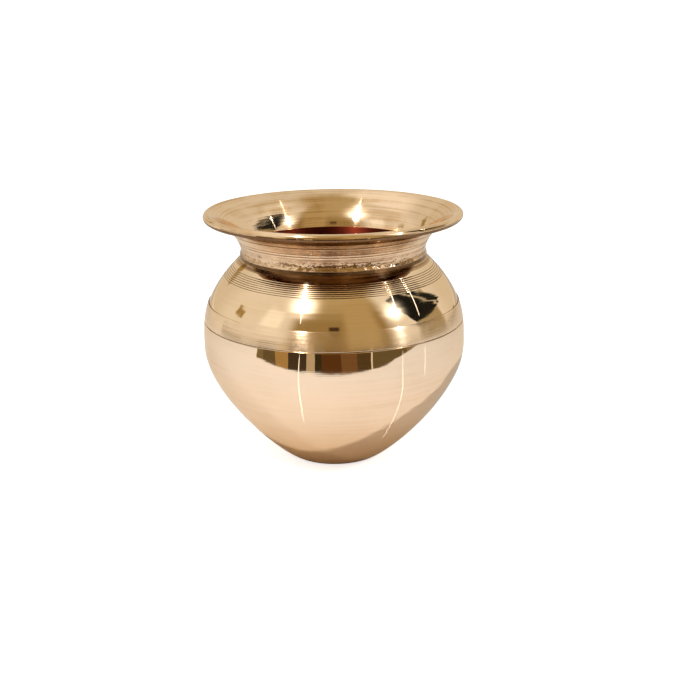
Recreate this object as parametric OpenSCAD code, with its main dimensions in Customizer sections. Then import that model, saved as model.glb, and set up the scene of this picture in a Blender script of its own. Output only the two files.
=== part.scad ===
// Kalash: a round-bellied water pot with a flat base, a waisted neck and a wide flared mouth.
// It is built from three spun sheet shells. The lower bowl laps over the shoulder's skirt at the
// belt, the neck collar sits over the shoulder's upright flange, and both laps are filled with
// braze. The collar's edge is rolled round a wire to stiffen the rim.
// The pot stands on the XY plane, centred on the Z axis.

/* [Belly] */
// Outside diameter at the widest point
belly_d = 100; // [97:0.5:104]
// Height of the widest point
belly_z = 45; // [42:0.5:48]
// How full the bowl is just under the belly: the length of the near upright stretch
bowl_fullness = 19; // [16:0.5:21]
// How full the shoulder is just over the belly: the length of the near upright stretch
shoulder_fullness = 11.5; // [9:0.5:13]

/* [Base] */
// Diameter at which the base turns up into the bowl
base_d = 33.6; // [30:0.2:37]
// Radial length of the soft turn from the base into the bowl
base_turn = 3.6; // [2.6:0.2:5]
// Diameter of the dished middle of the base
dish_d = 24; // [18:0.5:27]
// Height of the dish above the standing ring
dish_h = 0.4; // [0.2:0.1:0.8]

/* [Belt] */
// Height of the turned line under the belt
belt_z = 54.8; // [53:0.2:56]
// Height of the belt from its turned line to its top edge
belt_h = 7; // [5.5:0.5:8]
// Thickness of the bowl's edge at the foot of the lap over the shoulder's skirt
lap_t = 0.4; // [0.35:0.05:0.5]
// Thickness to which the belt is feathered at its top edge
belt_edge_t = 0.15; // [0.1:0.05:0.3]
// Depth of the turned line
belt_line_depth = 0.25; // [0.1:0.05:0.3]

/* [Neck] */
// Diameter of the crease where the shoulder meets the neck
crease_d = 70.8; // [70.4:0.2:71.4]
// Height of the crease
crease_z = 78.8; // [78:0.2:79.4]
// Outside diameter at the narrowest point
throat_d = 70; // [69.6:0.1:70.4]
// Height of the narrowest point
throat_z = 81.6; // [81.2:0.2:82.4]
// Height of the top edge of the upright flange inside the neck
flange_top_z = 82.6; // [82:0.2:83.6]

/* [Rim] */
// Outside diameter over the rolled rim
rim_d = 97.4; // [94:0.5:101]
// Height of the top of the rolled rim
rim_z = 95.7; // [94:0.5:98]
// Diameter of the wire inside the roll
wire_d = 1.2; // [0.8:0.1:1.4]
// Slope of the mouth where it meets the roll, in degrees above level
lip_slope = 20; // [15:1:26]

/* [Sheet] */
// Thickness of the brass sheet
sheet_t = 0.9; // [0.8:0.05:1]
// Width of the joints that the braze fills
joint_gap = 0.15; // [0.1:0.05:0.2]

/* [Shoulder lines] */
// Number of turned lines round the shoulder
line_count = 7; // [1:1:8]
// Height of the lowest turned line
line_z = 72; // [70:0.5:73]
// Height between neighbouring turned lines
line_pitch = 0.62; // [0.5:0.02:0.7]
// Depth of each turned line
line_depth = 0.15; // [0.05:0.05:0.2]

/* [Hidden] */
$fn = 96;
curve_steps = 20;
turn_steps = 6;
roll_steps = 20;

brass = [0.86, 0.68, 0.48];
satin_brass = [0.78, 0.60, 0.44];
filler = [0.60, 0.48, 0.34];
steel = [0.45, 0.42, 0.38];

belly_r = belly_d / 2;
base_r = base_d / 2;
dish_r = dish_d / 2;
dish_slope_w = 1.5;
half_sheet = sheet_t / 2;
belt_top_z = belt_z + belt_h;

function bezier(a, b, c, d, steps) = [
    for (i = [0:steps])
        let (t = i / steps, u = 1 - t)
        u * u * u * a + 3 * u * u * t * b + 3 * u * t * t * c + t * t * t * d
];
function arc(centre, r, from, to, steps) = [
    for (i = [0:steps])
        let (a = from + (to - from) * i / steps)
        centre + r * [cos(a), sin(a)]
];
function last(path) = path[len(path) - 1];
function without_last(path) = [for (i = [0:len(path) - 2]) path[i]];
function reversed(path) = [for (i = [len(path) - 1:-1:0]) path[i]];
function point_at(path, z) = [lookup(z, [for (p = path) [p[1], p[0]]]), z];
function stretch(path, low, high) = concat(
    [point_at(path, low)],
    [for (p = path) if (p[1] > low && p[1] < high) p],
    [point_at(path, high)]
);
function unit(v) = v / norm(v);
function heading(path, i) = unit(path[min(i + 1, len(path) - 1)] - path[max(i - 1, 0)]);
// Moves a path sideways: outwards on a path that climbs the outside of the pot.
function beside(path, d) = [
    for (i = [0:len(path) - 1])
        let (h = heading(path, i))
        path[i] + d * [h[1], -h[0]]
];

// Moves a path sideways by a distance that changes evenly from one height to another.
function lean(path, low, low_d, high, high_d) = [
    for (i = [0:len(path) - 1])
        let (h = heading(path, i), d = lookup(path[i][1], [[low, low_d], [high, high_d]]))
        path[i] + d * [h[1], -h[0]]
];

// Outside of the bowl from the standing ring to the belly.
bowl_curve = bezier(
    [base_r, 0],
    [base_r + base_turn, 0],
    [belly_r, belly_z - bowl_fullness],
    [belly_r, belly_z],
    curve_steps
);
// From the belly to the crease. The belt follows it, and the shoulder runs just inside it.
crease_slope = 44;
crease_pull = 20;
upper_curve = bezier(
    [belly_r, belly_z],
    [belly_r, belly_z + shoulder_fullness],
    [crease_d / 2, crease_z] + crease_pull * [cos(crease_slope), -sin(crease_slope)],
    [crease_d / 2, crease_z],
    curve_steps
);

// The wall keeps its full thickness past the turned line, then steps down to the lap.
belt_root = 1;
lap_z = belt_z + belt_root;
bowl_wall = concat(without_last(bowl_curve), stretch(upper_curve, belly_z, lap_z));
belt_wall = stretch(upper_curve, lap_z, belt_top_z);
belt_inside = lean(belt_wall, lap_z, -lap_t, belt_top_z, -belt_edge_t);
dish = [[0, dish_h], [dish_r - dish_slope_w, dish_h], [dish_r, 0]];

// Middle of the shoulder's sheet: the skirt inside the belt, the face, and the upright flange.
skirt_z = lap_z + joint_gap;
skirt_inset = lap_t + joint_gap + half_sheet;
face_inset = belt_edge_t + joint_gap + half_sheet;
throat_r = throat_d / 2 - half_sheet;
flange_r = throat_r - sheet_t - joint_gap;
flange_turn_r = 1.5;
flange_centre_r = flange_r + flange_turn_r;
shoulder_curve = lean(upper_curve, lap_z, -skirt_inset, belt_top_z, -face_inset);
turn_from = 270 - crease_slope;
turn_gap = (last(shoulder_curve)[0] - flange_centre_r - flange_turn_r * cos(turn_from))
    / cos(crease_slope);
turn_start = last(shoulder_curve) + turn_gap * [-cos(crease_slope), sin(crease_slope)];
turn_centre = turn_start - flange_turn_r * [cos(turn_from), sin(turn_from)];
shoulder_path = concat(
    stretch(shoulder_curve, skirt_z, last(shoulder_curve)[1]),
    arc(turn_centre, flange_turn_r, turn_from, 180, turn_steps),
    [[flange_r, flange_top_z]]
);

// Middle of the collar's sheet: the foot, the throat, the flared mouth and the roll.
foot_rise = 0.95;
foot_z = crease_z + foot_rise;
foot_flare = 0.4;
wire_room = 0.05;
roll_r = wire_d / 2 + wire_room + half_sheet;
roll_centre = [rim_d / 2 - roll_r - half_sheet, rim_z - roll_r - half_sheet];
roll_from = 90 + lip_slope;
roll_to = -170;
lip = roll_centre + roll_r * [cos(roll_from), sin(roll_from)];
throat = [throat_r, throat_z];
foot = [throat_r + foot_flare, foot_z];
foot_pull = [0, (throat_z - foot_z) / 2];
throat_pull = [0, 2.9];
lip_pull = 8.3;
foot_curve = bezier(foot, (foot + throat) / 2, throat - foot_pull, throat, turn_steps);
mouth_curve = bezier(
    throat,
    throat + throat_pull,
    lip - lip_pull * [cos(lip_slope), sin(lip_slope)],
    lip,
    curve_steps
);
collar_path = concat(
    without_last(foot_curve),
    without_last(mouth_curve),
    arc(roll_centre, roll_r, roll_from, roll_to, roll_steps)
);

// The braze stays just below the edges that it joins, and swells into a small fillet.
braze_inset = 0.2;
fillet_h = 0.9;

// Half section of a sheet shell whose middle follows the path.
module sheet_section(path) {
    polygon(concat(beside(path, half_sheet), reversed(beside(path, -half_sheet))));
}

// V-shaped cut, centred on a point of the outside face.
module turned_line(point, depth) {
    translate(point)
        rotate(45)
        square(depth * sqrt(2), center = true);
}

module bowl_section() {
    difference() {
        polygon(concat(
            dish,
            bowl_wall,
            without_last(belt_wall),
            [last(belt_wall), last(belt_inside)],
            reversed(without_last(belt_inside)),
            reversed(beside(bowl_wall, -sheet_t)),
            [[dish_r, sheet_t], [dish_r - dish_slope_w, sheet_t + dish_h], [0, sheet_t + dish_h]]
        ));
        turned_line(point_at(upper_curve, belt_z), belt_line_depth);
    }
}

module shoulder_section() {
    difference() {
        sheet_section(shoulder_path);
        for (i = [0:line_count - 1])
            turned_line(point_at(beside(shoulder_curve, half_sheet), line_z + i * line_pitch), line_depth);
    }
}

module collar_section() {
    sheet_section(collar_path);
}

module lower_bowl() {
    color(brass)
        rotate_extrude()
        bowl_section();
}

module shoulder() {
    color(brass)
        rotate_extrude()
        shoulder_section();
}

module neck_collar() {
    color(satin_brass)
        rotate_extrude()
        collar_section();
}

module rim_wire() {
    color(steel)
        rotate_extrude()
        translate(roll_centre)
        circle(d = wire_d);
}

module belly_braze() {
    film_top_z = belt_top_z - braze_inset;
    belt_side = lean(
        stretch(upper_curve, lap_z, film_top_z),
        lap_z,
        -lap_t / 2,
        belt_top_z,
        -belt_edge_t / 2
    );
    skirt_side = stretch(shoulder_curve, skirt_z + joint_gap, film_top_z);
    skirt_corner = beside(shoulder_path, -half_sheet)[0];
    toe = point_at(beside(bowl_wall, -sheet_t), skirt_z - fillet_h);
    color(filler)
        rotate_extrude()
        difference() {
            polygon(concat(belt_side, reversed(skirt_side), [skirt_corner, toe, toe + [half_sheet, 0]]));
            bowl_section();
            shoulder_section();
        }
}

module neck_braze() {
    film_top_z = flange_top_z - braze_inset;
    foot_edge = beside(collar_path, half_sheet)[0] - [braze_inset, 0];
    toe = point_at(beside(shoulder_curve, half_sheet), foot_edge[1] - fillet_h - half_sheet);
    color(filler)
        rotate_extrude()
        difference() {
            polygon([
                [flange_r, film_top_z],
                [throat_r, film_top_z],
                [throat_r, foot_z + half_sheet],
                foot_edge,
                toe,
                toe - [sheet_t, 0],
                [flange_r, turn_centre[1]]
            ]);
            shoulder_section();
            collar_section();
        }
}

lower_bowl();
shoulder();
neck_collar();
rim_wire();
belly_braze();
neck_braze();
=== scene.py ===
"""Looks for a spun brass kalash: three sheet shells, a rolled rim and two brazed laps.

Every shell is turned again from the CAD section as a fine, smooth mesh with the marks of the lathe
and of handling in its surface. Sections are in mm. Other lengths are in metres unless a name ends in
_mm or a note says mm.
"""

import math

import bpy
import numpy as np
from mathutils import Matrix, Vector


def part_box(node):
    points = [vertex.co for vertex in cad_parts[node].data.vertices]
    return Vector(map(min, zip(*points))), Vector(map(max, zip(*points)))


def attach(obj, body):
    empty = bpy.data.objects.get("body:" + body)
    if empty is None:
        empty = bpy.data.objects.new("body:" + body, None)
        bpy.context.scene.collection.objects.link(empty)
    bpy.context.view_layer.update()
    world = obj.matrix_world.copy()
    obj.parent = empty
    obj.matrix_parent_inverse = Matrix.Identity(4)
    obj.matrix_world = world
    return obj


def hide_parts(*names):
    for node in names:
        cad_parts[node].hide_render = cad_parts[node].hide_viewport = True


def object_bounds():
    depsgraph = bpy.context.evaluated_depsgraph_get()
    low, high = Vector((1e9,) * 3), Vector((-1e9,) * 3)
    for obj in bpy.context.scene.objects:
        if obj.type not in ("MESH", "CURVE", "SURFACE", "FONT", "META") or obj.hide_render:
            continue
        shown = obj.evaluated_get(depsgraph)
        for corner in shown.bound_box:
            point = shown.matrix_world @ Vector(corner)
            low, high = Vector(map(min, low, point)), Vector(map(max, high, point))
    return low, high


MM = 0.001
BODY = "root"
TURNED = "turned"

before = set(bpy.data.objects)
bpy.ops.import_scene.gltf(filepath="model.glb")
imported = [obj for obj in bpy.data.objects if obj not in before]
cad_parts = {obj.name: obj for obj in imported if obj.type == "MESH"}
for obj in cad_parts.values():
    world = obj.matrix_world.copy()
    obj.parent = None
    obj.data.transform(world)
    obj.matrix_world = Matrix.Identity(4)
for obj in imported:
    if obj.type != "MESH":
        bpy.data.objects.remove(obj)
cad_low, cad_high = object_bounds()


# ---------------------------------------------------------------- sections

def section_points(node):
    """The CAD node's half section in mm as an ordered list of (r, z), read from its mesh.

    The second result is True for a piece that is closed on the axis, as the bowl is.
    """
    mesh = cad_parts[node].data
    numbers = {}
    number_of = []
    for vertex in mesh.vertices:
        x, y, z = (c / MM for c in vertex.co)
        on_plane = abs(y) < 1e-4 and x > -1e-4
        key = (round(x, 3), round(z, 3))
        number_of.append(numbers.setdefault(key, len(numbers)) if on_plane else None)
    points = np.array(list(numbers))
    links = [set() for _ in points]
    for edge in mesh.edges:
        a, b = (number_of[i] for i in edge.vertices)
        if a is not None and b is not None and a != b:
            links[a].add(b)
            links[b].add(a)
    ends = [i for i, near in enumerate(links) if len(near) == 1]
    chain = [min(ends or range(len(points)), key=lambda i: points[i][1])]
    while True:
        ahead = [i for i in links[chain[-1]] if i not in chain]
        if not ahead:
            break
        chain.append(min(ahead))
    section = points[chain]
    if ends:
        axis = [(0.0, section[0][1]), (0.0, section[-1][1])]
        section = np.vstack([axis[:1], section, axis[1:]])
    return section, bool(ends)


def spline(points, step):
    """A smooth curve through the points, at about the given spacing."""
    if len(points) < 3:
        count = max(2, int(np.linalg.norm(points[-1] - points[0]) / step) + 1)
        return points[0] + np.linspace(0, 1, count)[:, None] * (points[-1] - points[0])
    knots = np.concatenate([[0], np.cumsum(np.linalg.norm(np.diff(points, axis=0), axis=1))])
    gap = np.diff(knots)
    size = len(points)
    matrix = np.eye(size)
    target = np.zeros((size, 2))
    slope = np.diff(points, axis=0) / gap[:, None]
    for i in range(1, size - 1):
        matrix[i, i - 1:i + 2] = gap[i - 1], 2 * (gap[i - 1] + gap[i]), gap[i]
        target[i] = 6 * (slope[i] - slope[i - 1])
    bend = np.linalg.solve(matrix, target)
    at = np.linspace(0, knots[-1], max(2, int(knots[-1] / step) + 1))
    k = np.clip(np.searchsorted(knots, at, side="right") - 1, 0, size - 2)
    h = gap[k][:, None]
    a = (knots[k + 1] - at)[:, None]
    b = (at - knots[k])[:, None]
    return (
        (bend[k] * a ** 3 + bend[k + 1] * b ** 3) / (6 * h)
        + (points[k] / h - bend[k] * h / 6) * a
        + (points[k + 1] / h - bend[k + 1] * h / 6) * b
    )


# A turn in the section sharper than this is an edge, and a softer one is part of a curve.
CORNER_DEG = 22.0


def is_corner(before, here, after):
    first, second = here - before, after - here
    cosine = first @ second / (np.linalg.norm(first) * np.linalg.norm(second))
    return cosine < math.cos(math.radians(CORNER_DEG))


def smooth_section(node, step_mm, edge_mm):
    """The node's section with smooth runs between its corners, and each corner worn round."""
    points, open_at_axis = section_points(node)
    if not open_at_axis:
        points = np.vstack([points, points[:1]])
    count = len(points)
    corners = [0]
    for i in range(1, count - 1):
        if is_corner(points[i - 1], points[i], points[i + 1]):
            corners.append(i)
    corners.append(count - 1)
    runs = []
    for a, b in zip(corners[:-1], corners[1:]):
        runs.append(spline(points[a:b + 1], step_mm))
    return join_runs(runs, edge_mm, open_at_axis)


def trim(run, start_mm, end_mm):
    """Shortens a run by a length at each end, but by no more than a third of it at either."""
    along = np.concatenate([[0], np.cumsum(np.linalg.norm(np.diff(run, axis=0), axis=1))])
    total = along[-1]
    low, high = min(start_mm, total / 3), total - min(end_mm, total / 3)
    keep = [p for p, s in zip(run, along) if low + 1e-6 < s < high - 1e-6]
    ends = [np.array([np.interp(s, along, run[:, c]) for c in (0, 1)]) for s in (low, high)]
    return np.array([ends[0], *keep, ends[1]])


# Where along each rounded corner its points lie.
ROUNDING = (0.33, 0.67)


def join_runs(runs, edge_mm, open_at_axis):
    """Joins the runs, with a small curve in place of each sharp corner."""
    count = len(runs)
    trimmed = []
    for i, run in enumerate(runs):
        first = 0.0 if open_at_axis and i == 0 else edge_mm
        last = 0.0 if open_at_axis and i == count - 1 else edge_mm
        trimmed.append(trim(run, first, last))
    section = []
    for i, run in enumerate(trimmed):
        section.extend(run)
        if open_at_axis and i == count - 1:
            break
        corner = runs[i][-1]
        after = trimmed[(i + 1) % count][0]
        for t in ROUNDING:
            section.append((1 - t) ** 2 * run[-1] + 2 * t * (1 - t) * corner + t * t * after)
    return np.array(section), open_at_axis


# ---------------------------------------------------------------- hand-made unevenness

WARP_WAVES = (
    # (times round, wave height in mm, waves per pot height, start angle)
    (2, 0.10, 0.20, 3.6),
    (3, 0.09, 0.8, 2.1),
    (5, 0.045, 1.6, 4.0),
    (7, 0.022, 2.9, 1.2),
    (9, 0.012, 4.7, 5.1),
)


# The wall starts to stand out of true above the standing ring, and does so fully at this height.
TRUE_BELOW_MM = 12.0
# The middle of the bottom stays round, and is fully warped only this far from the axis.
TRUE_WITHIN_MM = 16.0


def warp_mm(angle, z_mm):
    """How far the wall stands out of true, the same for every piece so that laps stay closed."""
    height = (cad_high[2] - cad_low[2]) / MM
    out = np.zeros_like(angle)
    for turns, size, waves, phase in WARP_WAVES:
        rise = z_mm / height
        out += size * np.sin(turns * angle + phase + 2 * math.pi * waves * rise)
    # The standing ring stays true, so that the pot doesn't rock.
    return out * np.clip(z_mm / TRUE_BELOW_MM, 0, 1)


# More rings than any section is long, so that every length along it lies between two of them.
RING_COUNT = 900
RING_SPREAD = (0.5, 1.5)


def ring_relief(seed, spacing_mm, depth_mm):
    """Shallow rings left by the spinning tool: depth in mm against the length along the section."""
    rng = np.random.default_rng(seed)
    knots = np.cumsum(rng.uniform(*RING_SPREAD, RING_COUNT) * spacing_mm)
    depths = rng.normal(0, 1, RING_COUNT) * depth_mm

    def relief(along):
        place = np.searchsorted(knots, along)
        low = np.where(place > 0, knots[np.maximum(place - 1, 0)], 0)
        t = (along - low) / (knots[place] - low)
        t = t * t * (3 - 2 * t)
        return depths[place - 1] * (1 - t) + depths[place] * t

    return relief


# ---------------------------------------------------------------- turning a section into a mesh

# Steps round the pot, which keep each piece under 200,000 triangles.
SEGMENTS = 320


def turn_sign(section):
    """1 where the section runs anticlockwise round the metal, -1 where it runs clockwise."""
    after = np.roll(section, -1, axis=0)
    return math.copysign(1.0, np.sum(section[:, 0] * after[:, 1] - after[:, 0] * section[:, 1]))


def outward_normals(section):
    """The section's unit normals, pointing out of the metal."""
    ahead = np.roll(section, -1, axis=0) - np.roll(section, 1, axis=0)
    ahead /= np.linalg.norm(ahead, axis=1)[:, None]
    return turn_sign(section) * np.stack([ahead[:, 1], -ahead[:, 0]], axis=1)


def outside_face(section, open_at_axis):
    """True for each section point on the outer side, between the lowest and the highest point."""
    top = int(section[:, 1].argmax())
    bottom = 0 if open_at_axis else int(section[:, 1].argmin())
    low, high = sorted((bottom, top))
    between = np.zeros(len(section), bool)
    between[low:high + 1] = True
    across = outward_normals(section)[:, 0]
    if across[between].sum() < across[~between].sum():
        between = ~between
    return between


# A groove's floor lies this far under a chord that reaches this far to either side of it.
GROOVE_DEPTH_MM, GROOVE_REACH_MM = 0.015, 0.3
# A chord shorter than this cuts across an edge of the sheet, so it tells nothing of a groove.
SHORTEST_CHORD_MM = 1.4 * GROOVE_REACH_MM


def in_groove(section):
    """True for each row of faces that lies below the wall round it, as in a turned line."""
    closed = np.vstack([section, section[:1]])
    along = np.concatenate([[0], np.cumsum(np.linalg.norm(np.diff(closed, axis=0), axis=1))])
    middle = (along[:-1] + along[1:]) / 2
    before, here, after = (
        np.stack([np.interp(middle + shift, along, closed[:, c]) for c in (0, 1)], axis=1)
        for shift in (-GROOVE_REACH_MM, 0.0, GROOVE_REACH_MM)
    )
    chord = after - before
    length = np.linalg.norm(chord, axis=1)
    across = turn_sign(section) * np.stack([chord[:, 1], -chord[:, 0]], axis=1)
    off = np.sum((here - (before + after) / 2) * across, axis=1) / length
    return (off < -GROOVE_DEPTH_MM) & (length > SHORTEST_CHORD_MM)


def lathe(name, section, open_at_axis, relief=None):
    """Turns a section into a mesh, and stores the direction round and the length along it in mm."""
    count = len(section)
    closed = np.vstack([section, section[:1]])
    along = np.concatenate([[0], np.cumsum(np.linalg.norm(np.diff(closed, axis=0), axis=1))])[:count]
    outward = outward_normals(section)
    shaped = section.copy()
    if relief is not None:
        shaped = shaped + outward * relief(along, section)[:, None]
    angle = np.linspace(0, 2 * math.pi, SEGMENTS, endpoint=False)
    cos, sin = np.cos(angle), np.sin(angle)
    radius = shaped[:, 0][:, None] + np.zeros(SEGMENTS)[None, :]
    height = shaped[:, 1][:, None] + np.zeros(SEGMENTS)[None, :]
    grid_angle = np.broadcast_to(angle, radius.shape)
    on_wall = np.clip(radius / TRUE_WITHIN_MM, 0, 1)
    radius = radius + warp_mm(grid_angle, height) * on_wall
    co = np.stack([radius * cos, radius * sin, height], axis=2).reshape(-1, 3) * MM
    mesh = bpy.data.meshes.new(name)
    faces = []
    last = count - 1 if open_at_axis else count
    for i in range(last):
        low, high = i * SEGMENTS, ((i + 1) % count) * SEGMENTS
        for j in range(SEGMENTS):
            k = (j + 1) % SEGMENTS
            faces.append((low + j, low + k, high + k, high + j))
    if turn_sign(section) < 0:
        faces = [f[::-1] for f in faces]
    mesh.from_pydata(co.tolist(), [], faces)
    mesh.polygons.foreach_set("use_smooth", np.ones(len(faces), bool))
    layer = mesh.attributes.new(TURNED, "FLOAT_VECTOR", "POINT")
    rows = np.broadcast_to(along[:, None], radius.shape)
    data = np.stack([np.broadcast_to(cos, radius.shape), np.broadcast_to(sin, radius.shape), rows], 2)
    layer.data.foreach_set("vector", data.reshape(-1).astype(np.float32))
    piece = bpy.data.objects.new(name, mesh)
    bpy.context.scene.collection.objects.link(piece)
    return piece


def paint(piece, row_material, materials):
    """Gives each row of faces its material, by the row's index in the list of materials."""
    for material in materials:
        piece.data.materials.append(material)
    rows = len(piece.data.polygons) // SEGMENTS
    index = np.repeat(np.asarray(row_material[:rows], np.int32), SEGMENTS)
    piece.data.polygons.foreach_set("material_index", index)


# ---------------------------------------------------------------- material helpers

class Nodes:
    """Short calls for building one material's node tree."""

    def __init__(self, name):
        self.material = bpy.data.materials.new(name)
        self.material.use_nodes = True
        self.tree = self.material.node_tree
        self.shader = self.tree.nodes["Principled BSDF"]

    def node(self, kind, **settings):
        made = self.tree.nodes.new(kind)
        for key, value in settings.items():
            setattr(made, key, value)
        return made

    def link(self, source, target):
        if isinstance(source, (int, float, tuple)):
            target.default_value = source
        else:
            self.tree.links.new(source, target)

    def math(self, operation, a, b=0.0, c=0.0):
        made = self.node("ShaderNodeMath", operation=operation)
        for socket, value in zip(made.inputs, (a, b, c)):
            self.link(value, socket)
        return made.outputs[0]

    def vector(self, operation, a, b=None, scale=None):
        made = self.node("ShaderNodeVectorMath", operation=operation)
        self.link(a, made.inputs[0])
        if b is not None:
            self.link(b, made.inputs[1])
        if scale is not None:
            self.link(scale, made.inputs["Scale"])
        return made.outputs[0]

    def combine(self, x, y, z):
        made = self.node("ShaderNodeCombineXYZ")
        for socket, value in zip(made.inputs, (x, y, z)):
            self.link(value, socket)
        return made.outputs[0]

    def noise(self, vector, scale, detail=2.0, roughness=0.5, distortion=0.0):
        made = self.node("ShaderNodeTexNoise")
        self.link(vector, made.inputs["Vector"])
        made.inputs["Scale"].default_value = scale
        made.inputs["Detail"].default_value = detail
        made.inputs["Roughness"].default_value = roughness
        made.inputs["Distortion"].default_value = distortion
        return made.outputs["Fac"]

    def spread(self, value, low, high, to_low=0.0, to_high=1.0):
        made = self.node("ShaderNodeMapRange", interpolation_type="SMOOTHSTEP")
        for socket, number in zip(made.inputs, (value, low, high, to_low, to_high)):
            self.link(number, socket)
        return made.outputs[0]

    def mix(self, factor, a, b):
        made = self.node("ShaderNodeMix", data_type="RGBA")
        self.link(factor, made.inputs["Factor"])
        self.link(a, made.inputs[6])
        self.link(b, made.inputs[7])
        return made.outputs[2]

    def turned(self):
        """Direction round the pot as (cos, sin), and length along the section in mm."""
        made = self.node("ShaderNodeAttribute", attribute_name=TURNED, attribute_type="GEOMETRY")
        split = self.node("ShaderNodeSeparateXYZ")
        self.link(made.outputs["Vector"], split.inputs[0])
        return split.outputs

    def rings(self, turned, per_mm, round_scale, detail=1.0):
        """Noise drawn out into rings: fine along the section, slow round the pot."""
        vector = self.combine(
            self.math("MULTIPLY", turned[0], round_scale),
            self.math("MULTIPLY", turned[1], round_scale),
            self.math("MULTIPLY", turned[2], per_mm),
        )
        return self.noise(vector, 1.0, detail)

    def tilt(self, turned, slope):
        """Leans the normal along the section by a slope, as the flank of a turned line does."""
        normal = self.node("ShaderNodeNewGeometry").outputs["Normal"]
        round_way = self.combine(self.math("MULTIPLY", turned[1], -1.0), turned[0], 0.0)
        along_way = self.vector("CROSS_PRODUCT", normal, round_way)
        lean = self.vector("SCALE", along_way, scale=slope)
        return self.vector("NORMALIZE", self.vector("ADD", normal, lean))

    def place(self):
        return self.node("ShaderNodeTexCoord").outputs["Object"]

    def bump(self, height, distance, normal):
        made = self.node("ShaderNodeBump")
        made.inputs["Strength"].default_value = 1.0
        made.inputs["Distance"].default_value = distance
        self.link(height, made.inputs["Height"])
        self.link(normal, made.inputs["Normal"])
        return made.outputs[0]

    def finish(self, colour, roughness, normal):
        self.link(colour, self.shader.inputs["Base Color"])
        self.link(roughness, self.shader.inputs["Roughness"])
        self.link(normal, self.shader.inputs["Normal"])
        self.shader.inputs["Metallic"].default_value = 1.0
        return self.material


def swing(nodes, value):
    """Noise moved to run either side of zero."""
    return nodes.math("MULTIPLY_ADD", value, 2.0, -1.0)


def brass(name, colour, deep, roughness, lines, rings, dents,
          pits=0.0, haze=0.05, stain=0.3, dent_scale=70.0):
    """Turned brass: fine lines and wider rings lean the normal along the section.

    The gloss itself is drawn out along the section, as it is on finely turned metal.
    Dents, pits and duller clouds break up the reflections.
    """
    nodes = Nodes(name)
    turned = nodes.turned()
    place = nodes.place()
    slope = nodes.math("MULTIPLY", swing(nodes, nodes.rings(turned, 5.0, 0.9)), lines)
    middle = swing(nodes, nodes.rings(turned, 1.7, 0.5, 2.0))
    slope = nodes.math("MULTIPLY_ADD", middle, rings, slope)
    wide = swing(nodes, nodes.rings(turned, 0.28, 0.8))
    slope = nodes.math("MULTIPLY_ADD", wide, rings * 0.7, slope)
    normal = nodes.tilt(turned, slope)
    height = nodes.noise(place, dent_scale, 3.0, 0.5)
    normal = nodes.bump(height, dents, normal)
    if pits:
        normal = nodes.bump(pit_field(nodes, place), pits, normal)
    cloud = nodes.noise(place, 55.0, 4.0, 0.6, 0.4)
    tone = nodes.rings(turned, 1.3, 0.8, 3.0)
    mask = nodes.spread(nodes.math("MULTIPLY", cloud, tone), 0.18, 0.42, 0.0, stain)
    shade = nodes.mix(mask, (*colour, 1.0), (*deep, 1.0))
    smear = nodes.noise(place, 140.0, 4.0, 0.65)
    gloss = nodes.math("MULTIPLY_ADD", nodes.spread(smear, 0.48, 0.78), haze, roughness)
    nodes.shader.inputs["Specular Tint"].default_value = (0.95, 0.86, 0.74, 1.0)
    for socket, amount in (("Anisotropic", 0.95), ("Anisotropic Rotation", 0.25)):
        value = nodes.node("ShaderNodeValue")
        value.outputs[0].default_value = amount
        nodes.link(value.outputs[0], nodes.shader.inputs[socket])
    return nodes.finish(shade, gloss, normal)


def pit_field(nodes, place):
    """Scattered small pits, in patches where the sheet was not dressed as well."""
    cells = nodes.node("ShaderNodeTexVoronoi")
    nodes.link(place, cells.inputs["Vector"])
    cells.inputs["Scale"].default_value = 1100.0
    dots = nodes.spread(cells.outputs["Distance"], 0.08, 0.30)
    patch = nodes.spread(nodes.noise(place, 45.0, 2.0), 0.50, 0.62)
    return nodes.math("SUBTRACT", 1.0, nodes.math("MULTIPLY", nodes.math("SUBTRACT", 1.0, dots), patch))


POLISHED = brass("polished_brass", (0.93, 0.72, 0.535), (0.84, 0.61, 0.41),
                 roughness=0.030, lines=0.010, rings=0.005, dents=0.00004, haze=0.02, stain=0.5)
SHOULDER = brass("shoulder_brass", (0.93, 0.71, 0.49), (0.82, 0.57, 0.33),
                 roughness=0.04, lines=0.012, rings=0.005, dents=0.00002, pits=0.0000015)
# Dark brass for the shoulder just under the neck: painted shade in the crease.
CREASE_SHADE = brass("crease_shade_brass", (0.60, 0.41, 0.24), (0.24, 0.12, 0.06),
             roughness=0.10, lines=0.05, rings=0.02, dents=0.00006, haze=0.06, stain=1.0)
BELT = brass("belt_brass", (0.93, 0.71, 0.50), (0.80, 0.56, 0.35),
             roughness=0.16, lines=0.13, rings=0.02, dents=0.00003, haze=0.1)
NECK = brass("neck_brass", (0.91, 0.68, 0.48), (0.40, 0.23, 0.13),
             roughness=0.20, lines=0.20, rings=0.12, dents=0.0003, pits=0.00001, haze=0.1,
             stain=1.0)
# Darker brass for the collar's foot at the crease: painted shade, with dark blotches that vary at
# random.
FOOT_SHADE = brass("foot_shade_brass", (0.84, 0.60, 0.40), (0.24, 0.12, 0.06),
             roughness=0.10, lines=0.12, rings=0.18, dents=0.0009, haze=0.1, stain=1.0,
             dent_scale=320.0)
# Dark brass for the underside of the flared lip: painted shade under the lip, which the shoulder also
# mirrors.
UNDERLIP_SHADE = brass("underlip_shade_brass", (0.22, 0.12, 0.06), (0.10, 0.05, 0.025),
                 roughness=0.10, lines=0.03, rings=0.04, dents=0.0001, haze=0.1, stain=0.9)
MOUTH = brass("mouth_brass", (0.92, 0.70, 0.49), (0.66, 0.42, 0.22),
              roughness=0.08, lines=0.10, rings=0.03, dents=0.00004, pits=0.000006, haze=0.06,
              stain=0.9)
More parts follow.
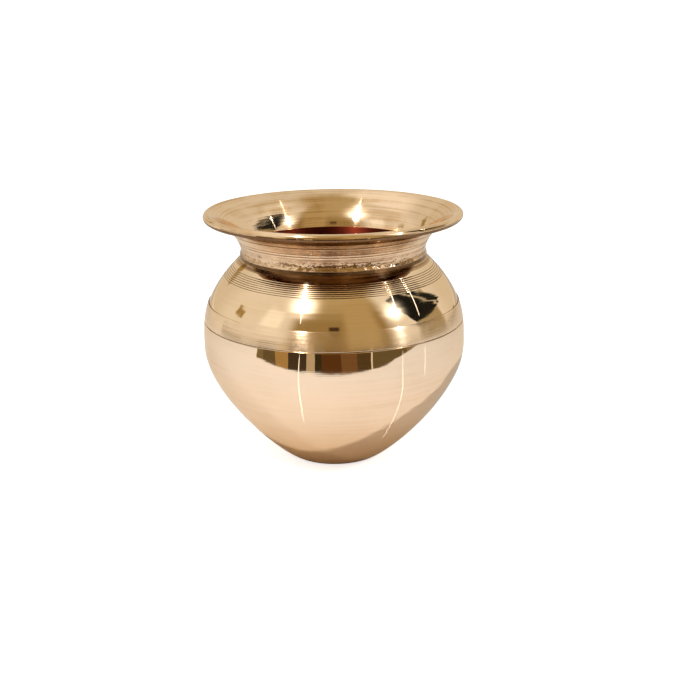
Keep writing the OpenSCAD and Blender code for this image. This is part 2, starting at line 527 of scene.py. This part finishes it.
# The inner faces, painted almost black on a reddish brass tone: painted shade inside the pot.
INSIDE_SHADE = brass("inside_shade_brass", (0.10, 0.014, 0.006), (0.06, 0.010, 0.005),
               roughness=0.60, lines=0.1, rings=0.05, dents=0.0002, haze=0.1, stain=1.0)
BRAZE = brass("braze_brass", (0.20, 0.11, 0.05), (0.05, 0.025, 0.012),
              roughness=0.28, lines=0.3, rings=0.2, dents=0.0006, haze=0.2, stain=1.0,
              dent_scale=300.0)
# Dark brass painted into the turned grooves and the cut lines round the neck: painted shade in the
# recesses.
GROOVE_SHADE = brass("groove_shade_brass", (0.24, 0.14, 0.065), (0.10, 0.05, 0.02),
               roughness=0.25, lines=0.1, rings=0.05, dents=0.0001, haze=0.2, stain=1.0)
WIRE = brass("drawn_wire", (0.42, 0.38, 0.34), (0.20, 0.12, 0.08),
             roughness=0.35, lines=0.1, rings=0.03, dents=0.0001, haze=0.2, stain=0.8)


# ---------------------------------------------------------------- pieces

def finish_piece(piece, node):
    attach(piece, BODY)
    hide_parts(node)
    return piece


# The bowl's flat base stays smooth: its rings start at this height and fade in over this much.
SMOOTH_BASE_MM, SMOOTH_FADE_MM = 2, 6


def make_bowl():
    section, open_at_axis = smooth_section("lower_bowl", step_mm=0.72, edge_mm=0.12)
    outside = outside_face(section, open_at_axis)
    belt_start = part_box("belly_braze")[0][2] / MM
    rings = ring_relief(seed=3, spacing_mm=2.4, depth_mm=0.006)

    def relief(along, points):
        return rings(along) * outside * np.clip((points[:, 1] - SMOOTH_BASE_MM) / SMOOTH_FADE_MM, 0, 1)

    piece = lathe("lower_bowl_sheet", section, open_at_axis, relief)
    # Inner faces take the painted inside shade.
    rows = [2 if not o else (1 if z > belt_start else 0) for o, z in zip(outside, section[:, 1])]
    # Faces in a groove take the groove's painted shade.
    rows = np.where(in_groove(section) & outside, 3, rows)
    paint(piece, rows, (POLISHED, BELT, INSIDE_SHADE, GROOVE_SHADE))
    return finish_piece(piece, "lower_bowl")


# How far below the neck's braze the shoulder is painted darker: painted shade in the crease under the
# neck.
CREASE_SHADE_REACH_MM = 1.6


def make_shoulder():
    section, open_at_axis = smooth_section("shoulder", step_mm=0.34, edge_mm=0.03)
    outside = outside_face(section, open_at_axis)
    rings = ring_relief(seed=5, spacing_mm=1.8, depth_mm=0.005)

    def relief(along, points):
        return rings(along) * outside

    piece = lathe("shoulder_sheet", section, open_at_axis, relief)
    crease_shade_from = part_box("neck_braze")[0][2] / MM - CREASE_SHADE_REACH_MM
    # Faces just under the neck take the painted crease shade.
    rows = np.where(section[:, 1] > crease_shade_from, 3, 0)
    # Faces in a groove take the groove's painted shade.
    rows = np.where(in_groove(section), 2, rows)
    # Inner faces take the painted inside shade.
    rows = np.where(outside, rows, 1)
    paint(piece, rows, (SHOULDER, INSIDE_SHADE, GROOVE_SHADE, CREASE_SHADE))
    return finish_piece(piece, "shoulder")


# Turned lines round the neck: how far below the rim each is, and their size.
NECK_LINE_DROPS_MM = (7.2, 9.9, 10.8)
NECK_LINE_W_MM = 0.16
NECK_LINE_DEPTH_MM = 0.07
# The tool's chatter stops at this height under the lip, after fading over this much.
CHATTER_TOP_MM, CHATTER_FADE_MM = 90.0, 6
# Where the collar's finishes change: below the rim, and above the braze. Between the two drops below
# the rim, the underside of the lip is painted dark as shade.
LIP_DROP_MM, UNDERLIP_SHADE_DROP_MM, FOOT_SHADE_RISE_MM = 1.8, 5.7, 0.6


def make_collar():
    section, open_at_axis = smooth_section("neck_collar", step_mm=0.26, edge_mm=0.08)
    outside = outside_face(section, open_at_axis)
    chatter = ring_relief(seed=11, spacing_mm=0.55, depth_mm=0.014)
    neck_lines = [cad_high[2] / MM - drop for drop in NECK_LINE_DROPS_MM]

    def relief(along, points):
        low = np.clip((CHATTER_TOP_MM - points[:, 1]) / CHATTER_FADE_MM, 0, 1)
        cut = sum(np.exp(-((points[:, 1] - z) / NECK_LINE_W_MM) ** 2) for z in neck_lines)
        return (chatter(along) * low - NECK_LINE_DEPTH_MM * cut) * outside

    piece = lathe("neck_collar_sheet", section, open_at_axis, relief)
    lip_from = cad_high[2] / MM - LIP_DROP_MM
    # Below the lip the collar is painted dark as shade.
    underlip_shade_from = cad_high[2] / MM - UNDERLIP_SHADE_DROP_MM
    # Up to just above the braze the collar is painted darker as shade in the crease.
    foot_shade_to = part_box("neck_braze")[1][2] / MM + FOOT_SHADE_RISE_MM
    zones = ((foot_shade_to, FOOT_SHADE), (underlip_shade_from, NECK), (lip_from, UNDERLIP_SHADE))
    materials = (FOOT_SHADE, NECK, UNDERLIP_SHADE, MOUTH)
    rows = []
    for out, z in zip(outside, section[:, 1]):
        zone = [material for top, material in zones if out and z < top]
        # A cut line round the neck takes the groove's painted shade.
        cut = out and min(abs(z - line) for line in neck_lines) < NECK_LINE_W_MM
        rows.append(4 if cut else materials.index(zone[0] if zone else MOUTH))
    paint(piece, rows, (*materials, GROOVE_SHADE))
    return finish_piece(piece, "neck_collar")


def make_ring(node, name, material, step_mm, edge_mm):
    section, open_at_axis = smooth_section(node, step_mm, edge_mm)
    piece = lathe(name, section, open_at_axis)
    paint(piece, [0] * len(section), (material,))
    return finish_piece(piece, node)


make_bowl()
make_shoulder()
make_collar()
make_ring("rim_wire", "rim_wire_ring", WIRE, step_mm=0.15, edge_mm=0.0)
make_ring("belly_braze", "belly_braze_fill", BRAZE, step_mm=0.4, edge_mm=0.03)
make_ring("neck_braze", "neck_braze_fill", BRAZE, step_mm=0.2, edge_mm=0.05)


# ---------------------------------------------------------------- stage, light and camera

def direction(azimuth, elevation):
    """Unit vector seen from the pot: azimuth 0 is the front (-Y), and 90 is +X."""
    a, e = math.radians(azimuth), math.radians(elevation)
    return (math.sin(a) * math.cos(e), -math.cos(a) * math.cos(e), math.sin(e))


FLOOR_FRONT, FLOOR_BACK, FLOOR_LEFT, FLOOR_RIGHT = -0.190, 3.0, -0.55, 0.75
# The table's cut-back front left corner: azimuth in degrees, and distance from the pot.
FLOOR_CORNER = ((-66, 0.60), (-64, 0.27), (-50, 0.24), (-35, 0.215), (-20, 0.202))
# Light added to the floor as the camera sees it, so that it joins the white behind.
FLOOR_LIFT = 0.7
FLOOR_PALE = (0.93, 0.93, 0.92, 1.0)
# A painted contact shadow: the floor as the metal mirrors it close under the pot, and the distances
# over which it clears.
FLOOR_SHADE = (0.74, 0.64, 0.47, 1.0)
FLOOR_SHADE_FROM, FLOOR_SHADE_TO = 0.012, 0.050
# Name, azimuth and elevation in degrees, relative width and relative brightness.
LAMPS = (
    ("lamp_left", -40, 53, 1.0, 1.0),
    ("lamp_right", 65, 37, 0.75, 0.5),
    ("lamp_far_right", 97, 41, 0.3, 0.1),
)


def make_floor():
    """A pale table top, whose front edge lies between the pot and the camera."""
    mesh = bpy.data.meshes.new("floor")
    corner = [[c * away for c in direction(azimuth, 0)] for azimuth, away in FLOOR_CORNER]
    back = [(FLOOR_RIGHT, FLOOR_BACK, 0), (FLOOR_LEFT, FLOOR_BACK, 0)]
    outline = [*back, *corner, (FLOOR_RIGHT, FLOOR_FRONT, 0)]
    mesh.from_pydata(outline, [], [range(len(outline))])
    floor = bpy.data.objects.new("floor", mesh)
    bpy.context.scene.collection.objects.link(floor)
    nodes = Nodes("floor")
    mesh.materials.append(nodes.material)
    reach = nodes.node("ShaderNodeVectorMath", operation="LENGTH")
    nodes.link(nodes.place(), reach.inputs[0])
    clear = nodes.spread(reach.outputs["Value"], FLOOR_SHADE_FROM, FLOOR_SHADE_TO)
    path = nodes.node("ShaderNodeLightPath")
    # The camera sees the floor without the painted shadow.
    clear = nodes.math("MAXIMUM", clear, path.outputs["Is Camera Ray"])
    nodes.link(nodes.mix(clear, FLOOR_SHADE, FLOOR_PALE), nodes.shader.inputs["Base Color"])
    nodes.shader.inputs["Roughness"].default_value = 0.9
    nodes.shader.inputs["Specular IOR Level"].default_value = 0.0
    nodes.shader.inputs["Emission Color"].default_value = (1.0, 1.0, 1.0, 1.0)
    lift = nodes.math("MULTIPLY", path.outputs["Is Camera Ray"], FLOOR_LIFT)
    nodes.link(lift, nodes.shader.inputs["Emission Strength"])


# Colours of the mirrored room.
PALE = (0.86, 0.81, 0.70)
BACK = (0.74, 0.69, 0.58)
TAN = (0.33, 0.23, 0.09)
CEILING = (0.50, 0.39, 0.20)
BLACK = (0.012, 0.012, 0.010)
GOLD = (0.38, 0.27, 0.09)
FRONT_LIGHT = (0.48, 0.36, 0.17)
SLIT = (0.62, 0.55, 0.42)
GLOW = (4.0, 4.0, 3.9, 1.0)
# What stands beyond the table's front edge: where each bar starts, in degrees, and its colour.
BARS = (
    (-180, PALE),
    (-115, (0.22, 0.16, 0.07)),
    (-64, (0.14, 0.10, 0.04)),
    (-53, (0.40, 0.25, 0.08)),
    (-42, (0.06, 0.04, 0.02)),
    (-26, (0.50, 0.40, 0.24)),
    (-19, (0.04, 0.03, 0.01)),
    (-14, (0.10, 0.04, 0.01)),
    (4, (0.18, 0.09, 0.03)),
    (17, (0.09, 0.055, 0.02)),
    (30, (0.80, 0.70, 0.50)),
    (32, (0.14, 0.10, 0.04)),
    (62, (0.24, 0.18, 0.08)),
    (140, PALE),
)

# Things on the walls: azimuths and elevations in degrees, softness of their edges, colour.
WALL_PATCHES = (
    ((80, 114), (-20, 34), 2.0, (0.42, 0.34, 0.19)),
    ((-105, -95), (17, 24), 0.8, GOLD),
    ((-146, -139), (13, 22), 0.8, GOLD),
    ((-168, -96), (44, 74), 8.0, (1.0, 0.95, 0.86)),
)
# Things before the walls: a bright window on the left, and a small dark thing over the camera.
NEAR_PATCHES = (
    ((-74, -54), (18, 40), 4.0, (1.08, 1.06, 0.96)),
    ((-5, 5), (25, 33), 1.6, (0.06, 0.035, 0.015)),
)
FRONT_AZIMUTHS, FRONT_SOFT = (-42.0, 54.0), 8.0
FRONT_LIGHT_AT = ((11, 42), (-5, 60), 5.0)
# The black card on the right leans: each edge's azimuth falls with elevation by its own rate.
CARD_ELEVATIONS = (16.0, 49.0)
CARD_LEFT, CARD_LEFT_LEAN = (86.0, 87.0), 0.41
CARD_RIGHT, CARD_RIGHT_LEAN = (140.0, 142.0), 0.97
CARD_SLIT = (132.0, 134.0)
# The bars fill everything below this run of elevations.
HORIZON = (-1.6, -0.4)
# Runs of degrees over which one thing gives way to the next: the side walls to the back wall by
# azimuth, and the front wall and then every wall to the ceiling by elevation.
TO_BACK, FRONT_TO_CEILING, WALLS_TO_CEILING = (108.0, 135.0), (35.0, 62.0), (62.0, 80.0)
# The glow about each of the first two lamps, in degrees for a lamp of width 1.
HALO_WIDTH = 8.0


class Sky(Nodes):
    """The world's node tree, built with the same short calls as a material's."""

    def __init__(self):
        world = bpy.data.worlds.new("studio")
        bpy.context.scene.world = world
        world.use_nodes = True
        world.cycles.sampling_method = "NONE"
        self.tree = world.node_tree
        self.tree.nodes.clear()
        self.background = self.node("ShaderNodeBackground")
        self.output = self.node("ShaderNodeOutputWorld")
        self.link(self.background.outputs[0], self.output.inputs["Surface"])
        split = self.node("ShaderNodeSeparateXYZ")
        self.way = self.node("ShaderNodeTexCoord").outputs["Generated"]
        self.link(self.way, split.inputs[0])
        x, y, z = split.outputs
        to_degrees = 180 / math.pi
        turn = self.math("ARCTAN2", x, self.math("MULTIPLY", y, -1.0))
        self.azimuth = self.math("MULTIPLY", turn, to_degrees)
        self.away = self.math("ABSOLUTE", self.azimuth)
        self.elevation = self.math("MULTIPLY", self.math("ARCSINE", z), to_degrees)

    def between(self, value, low, high, soft):
        rise = self.spread(value, low - soft, low + soft)
        fall = self.spread(value, high - soft, high + soft)
        return self.math("MULTIPLY", rise, self.math("SUBTRACT", 1.0, fall))

    def patch(self, azimuths, elevations, soft):
        across = self.between(self.azimuth, *azimuths, soft)
        return self.math("MULTIPLY", across, self.between(self.elevation, *elevations, soft))

    def halo(self, way, width_deg):
        """A soft round glow about a direction."""
        near = self.node("ShaderNodeVectorMath", operation="DOT_PRODUCT")
        self.link(self.way, near.inputs[0])
        near.inputs[1].default_value = way
        off = self.math("MULTIPLY_ADD", near.outputs["Value"], -1.0, 1.0)
        steep = -2.0 / math.radians(width_deg) ** 2
        return self.math("EXPONENT", self.math("MULTIPLY", off, steep))

    def tinted(self, factor, under, colour):
        return self.mix(factor, under, (*colour, 1.0))

    def bars(self):
        ramp = self.node("ShaderNodeValToRGB")
        stops = ramp.color_ramp
        stops.interpolation = "CONSTANT"
        while len(stops.elements) < len(BARS):
            stops.elements.new(1.0)
        for stop, (start, colour) in zip(stops.elements, BARS):
            stop.position = (start + 180) / 360
            stop.color = (*colour, 1.0)
        self.link(self.math("DIVIDE", self.math("ADD", self.azimuth, 180.0), 360.0), ramp.inputs[0])
        return ramp.outputs[0]


def walls(sky):
    """A tan room in front under a darker ceiling, and pale walls at the sides and back."""
    front = sky.between(sky.azimuth, *FRONT_AZIMUTHS, FRONT_SOFT)
    back = sky.spread(sky.away, *TO_BACK)
    wall = sky.tinted(back, (*PALE, 1.0), BACK)
    low_front = sky.tinted(sky.spread(sky.elevation, *FRONT_TO_CEILING), (*TAN, 1.0), CEILING)
    low_front = sky.tinted(sky.patch(*FRONT_LIGHT_AT), low_front, FRONT_LIGHT)
    wall = sky.mix(front, wall, low_front)
    wall = sky.tinted(sky.spread(sky.elevation, *WALLS_TO_CEILING), wall, CEILING)
    for azimuths, elevations, soft, colour in WALL_PATCHES:
        wall = sky.tinted(sky.patch(azimuths, elevations, soft), wall, colour)
    return wall


def add_card(sky, wall):
    """A black card with slanting sides, and a pale slit near its right edge."""
    left_edge = sky.math("MULTIPLY_ADD", sky.elevation, CARD_LEFT_LEAN, sky.azimuth)
    right_edge = sky.math("MULTIPLY_ADD", sky.elevation, CARD_RIGHT_LEAN, sky.azimuth)
    tall = sky.between(sky.elevation, *CARD_ELEVATIONS, 0.8)
    card = sky.math("MULTIPLY", sky.spread(left_edge, *CARD_LEFT), tall)
    card = sky.math("MULTIPLY", sky.math("SUBTRACT", card, sky.spread(right_edge, *CARD_RIGHT)), card)
    wall = sky.tinted(sky.math("MAXIMUM", card, 0.0), wall, BLACK)
    slit = sky.math("MULTIPLY", sky.between(right_edge, *CARD_SLIT, 0.6), tall)
    return sky.tinted(slit, wall, SLIT)


def room(sky):
    """What the metal mirrors: the walls, a few dark things, the bars below and the lamps' glow."""
    wall = add_card(sky, walls(sky))
    for azimuths, elevations, soft, colour in NEAR_PATCHES:
        wall = sky.tinted(sky.patch(azimuths, elevations, soft), wall, colour)
    below = sky.math("SUBTRACT", 1.0, sky.spread(sky.elevation, *HORIZON))
    wall = sky.mix(below, wall, sky.bars())
    for _, azimuth, elevation, size, _ in LAMPS[:2]:
        wall = sky.mix(sky.halo(direction(azimuth, elevation), HALO_WIDTH * size), wall, GLOW)
    return wall


# What the camera sees past the pot, and what lights the floor.
BACKDROP = (1.25, 1.25, 1.25, 1)
SOFT_LIGHT = (0.50, 0.50, 0.50, 1)


def make_world():
    """White where the camera looks past the pot, soft light for the floor, and a room to mirror."""
    sky = Sky()
    path = sky.node("ShaderNodeLightPath")
    seen = sky.mix(path.outputs["Is Diffuse Ray"], room(sky), SOFT_LIGHT)
    seen = sky.mix(path.outputs["Is Camera Ray"], seen, BACKDROP)
    sky.link(seen, sky.background.inputs["Color"])


LAMP_DISTANCE = 0.9
LAMP_COLOUR = (1.0, 0.98, 0.94)
# Each lamp's width in degrees and radiance, and those of its core, which only lights by mirroring.
LAMP_WIDTH, LAMP_RADIANCE = 4.0, 420.0
CORE_WIDTH, CORE_RADIANCE = 1.8, 6000.0


def make_lamp(name, azimuth, elevation, width_deg, radiance, glare_only=False):
    """A round lamp out of shot, as wide as the given angle seen from the pot."""
    size = 2 * LAMP_DISTANCE * math.tan(math.radians(width_deg / 2))
    light = bpy.data.lights.new(name, "AREA")
    light.shape = "DISK"
    light.size = size
    light.color = LAMP_COLOUR
    light.energy = radiance * math.pi * math.pi * (size / 2) ** 2
    lamp = bpy.data.objects.new(name, light)
    way = Vector(direction(azimuth, elevation))
    lamp.location = way * LAMP_DISTANCE + Vector((0, 0, (cad_low[2] + cad_high[2]) / 2))
    lamp.rotation_mode = "QUATERNION"
    lamp.rotation_quaternion = way.to_track_quat("Z", "Y")
    lamp.visible_camera = False
    lamp.visible_diffuse = not glare_only
    bpy.context.scene.collection.objects.link(lamp)


CAMERA_LENS, CAMERA_SENSOR = 59.1, 36.0
CAMERA_DISTANCE, CAMERA_ELEVATION, CAMERA_AIM_Z = 0.4437, 16.19, 0.0486
# How far the camera is turned from its aim: pan, tilt and roll in degrees.
CAMERA_TURN = (0.764, -0.996, -0.75)


def make_camera():
    """A short telephoto, a little above the rim. Returns where it stands."""
    camera_data = bpy.data.cameras.new("camera")
    camera_data.sensor_width = CAMERA_SENSOR
    camera_data.lens = CAMERA_LENS
    camera = bpy.data.objects.new("camera", camera_data)
    way = Vector(direction(0, CAMERA_ELEVATION))
    camera.location = way * CAMERA_DISTANCE + Vector((0, 0, CAMERA_AIM_Z))
    pan, tilt, roll = (math.radians(a) for a in CAMERA_TURN)
    look = way.to_track_quat("Z", "Y").to_matrix()
    turn = Matrix.Rotation(-pan, 3, "Y") @ Matrix.Rotation(tilt, 3, "X") @ Matrix.Rotation(roll, 3, "Z")
    camera.rotation_mode = "QUATERNION"
    camera.rotation_quaternion = (look @ turn).to_quaternion()
    bpy.context.scene.collection.objects.link(camera)
    bpy.context.scene.camera = camera
    return camera.location


# Streaks: how far off the strips stand, the spacing of their points, and their width on the metal.
STREAK_REACH = 0.45
STREAK_STEP_MM = 1.5
STREAK_WIDTH = 0.4 * MM
# A strip widens by this much of its width for each metre off, as the round wall mirrors it.
STREAK_SPREAD = 40
STREAK_FLOOR_GAP = 0.4 * MM
STREAK_ROUNDS = 4
STREAK_BRIGHT, STREAK_FAINT = 2.8, 1.4
# How low on the bowl each lamp's streak runs.
STREAK_LOWEST_MM = (26, 15, 42)
# Clear of the belt's turned line, the belt's top edge and the neck's braze.
BELT_LINE_GAP_MM, BELT_TOP_GAP_MM, NECK_GAP_MM = 0.6, 1.5, 1.0
# The part of the mouth that carries a streak: how far below the rim it lies.
FLARE_DROPS_MM = (9, 2)


def profile(node, low_mm, high_mm, inside=False):
    """Points up one face of a piece's section with their normals, in metres, at even steps."""
    section, open_at_axis = smooth_section(node, step_mm=0.5, edge_mm=0.1)
    face = outside_face(section, open_at_axis) != inside
    keep = section[face & (section[:, 1] > low_mm) & (section[:, 1] < high_mm)]
    keep = keep[keep[:, 1].argsort()]
    heights = np.linspace(keep[0][1], keep[-1][1], int((high_mm - low_mm) / STREAK_STEP_MM) + 1)
    points = np.stack([np.interp(heights, keep[:, 1], keep[:, 0]), heights], axis=1)
    step = np.gradient(points, axis=0)
    normal = np.stack([step[:, 1], -step[:, 0]], axis=1) / np.linalg.norm(step, axis=1)[:, None]
    return points * MM, -normal if inside else normal


def make_streak(name, lamp, eye, rows, material, inside=False):
    """A ribbon of light set where the metal mirrors it as a thin streak down one meridian.

    It stands in for the glint that a lamp draws down finely turned metal.
    """
    lamp_way = Vector(direction(lamp[1], lamp[2])) * LAMP_DISTANCE
    corners = []
    points, normals = rows
    count = len(points)
    azimuth = 0.0
    for i in range(count):
        for _ in range(STREAK_ROUNDS):
            out = Vector((math.sin(azimuth), -math.cos(azimuth), 0))
            spot = out * points[i][0] + Vector((0, 0, points[i][1]))
            way = (eye - spot).normalized()
            half = way + (lamp_way - spot).normalized()
            azimuth = math.atan2(half.x, -half.y) + (math.pi if inside else 0.0)
        normal = out * normals[i][0] + Vector((0, 0, normals[i][1]))
        bounced = 2 * normal.dot(way) * normal - way
        reach = STREAK_REACH
        if bounced.z < 0:
            reach = min(reach, (spot.z - STREAK_FLOOR_GAP) / -bounced.z)
        taper = math.sin(math.pi * (i + 0.5) / count) ** 0.5
        across = Vector((math.cos(azimuth), math.sin(azimuth), 0)) * taper
        across *= STREAK_WIDTH * (1 + STREAK_SPREAD * reach) / 2
        middle = spot + bounced * reach
        corners += [middle - across, middle + across]
    mesh = bpy.data.meshes.new(name)
    faces = [(2 * i, 2 * i + 1, 2 * i + 3, 2 * i + 2) for i in range(count - 1)]
    mesh.from_pydata(corners, [], faces)
    mesh.materials.append(material)
    ribbon = bpy.data.objects.new(name, mesh)
    bpy.context.scene.collection.objects.link(ribbon)
    ribbon.visible_camera = False
    ribbon.visible_diffuse = False
    ribbon.visible_shadow = False


def streak_light(name, strength):
    """A material that only gives light."""
    nodes = Nodes(name)
    nodes.shader.inputs["Base Color"].default_value = (0, 0, 0, 1)
    nodes.shader.inputs["Emission Color"].default_value = (*LAMP_COLOUR, 1.0)
    nodes.shader.inputs["Emission Strength"].default_value = strength
    return nodes.material


def make_streaks(eye):
    """Sets each lamp's streaks on the bowl and the shoulder, and the first two lamps' in the mouth."""
    bright = streak_light("streak_bright", STREAK_BRIGHT)
    faint = streak_light("streak_faint", STREAK_FAINT)
    belt_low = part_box("belly_braze")[0][2] / MM - BELT_LINE_GAP_MM
    belt_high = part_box("belly_braze")[1][2] / MM + BELT_TOP_GAP_MM
    neck_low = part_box("neck_braze")[0][2] / MM - NECK_GAP_MM
    for lamp, lowest in zip(LAMPS, STREAK_LOWEST_MM):
        bowl = profile("lower_bowl", lowest, belt_low)
        make_streak(lamp[0] + "_bowl", lamp, eye, bowl, faint)
        shoulder = profile("shoulder", belt_high, neck_low)
        make_streak(lamp[0] + "_shoulder", lamp, eye, shoulder, bright)
    flare_low, flare_high = (cad_high[2] / MM - drop for drop in FLARE_DROPS_MM)
    for lamp in LAMPS[:2]:
        flare = profile("neck_collar", flare_low, flare_high, inside=True)
        make_streak(lamp[0] + "_flare", lamp, eye, flare, bright, inside=True)


make_floor()
make_world()
for side, azimuth, elevation, size, power in LAMPS:
    make_lamp(side, azimuth, elevation, LAMP_WIDTH * size, LAMP_RADIANCE * power)
    make_lamp(side + "_core", azimuth, elevation, CORE_WIDTH * size, CORE_RADIANCE * power, True)
make_streaks(make_camera())
bpy.context.scene.view_settings.view_transform = "Standard"
